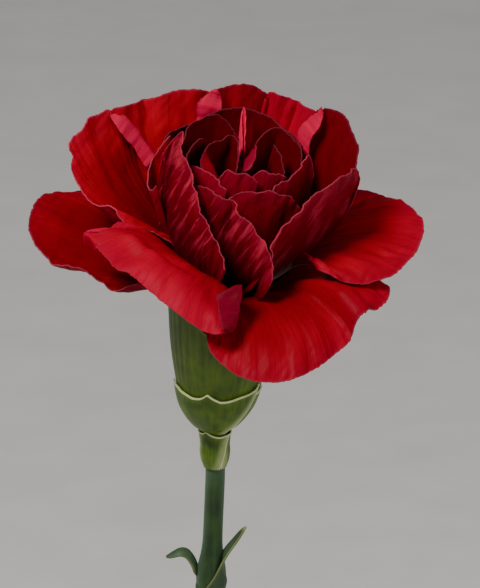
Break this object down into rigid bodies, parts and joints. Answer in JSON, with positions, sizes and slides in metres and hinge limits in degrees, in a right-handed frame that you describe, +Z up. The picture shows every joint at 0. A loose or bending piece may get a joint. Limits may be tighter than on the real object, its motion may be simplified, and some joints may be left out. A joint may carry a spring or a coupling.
{
  "type": "cut carnation in a bud vase",
  "caption": "Ruffled red carnation on a slim leafy stem, standing in a plain glazed bud vase of water that rests on its flat foot.",
  "frame": {"origin": "middle of the vase's flat foot", "axes": "+Z up, +X to the right and -Y towards the viewer of the picture"},
  "size_m": [0.0791, 0.0814, 0.2858],
  "materials": {
    "glaze": "off-white glaze with a soft gloss",
    "water": "clear still water",
    "stem": "smooth green stem with a pale waxy bloom",
    "bract": "olive green with pale papery margins",
    "calyx": "olive green with fine lengthwise ribs",
    "petal": "velvety deep red with a fine pale rim"
  },
  "bodies": {
    "root": {"vase": "glaze", "water": "water", "stem": "stem", "lower_bracts": "bract", "upper_bracts": "bract", "calyx": "calyx", "bloom": "petal"}
  },
  "joints": []
}
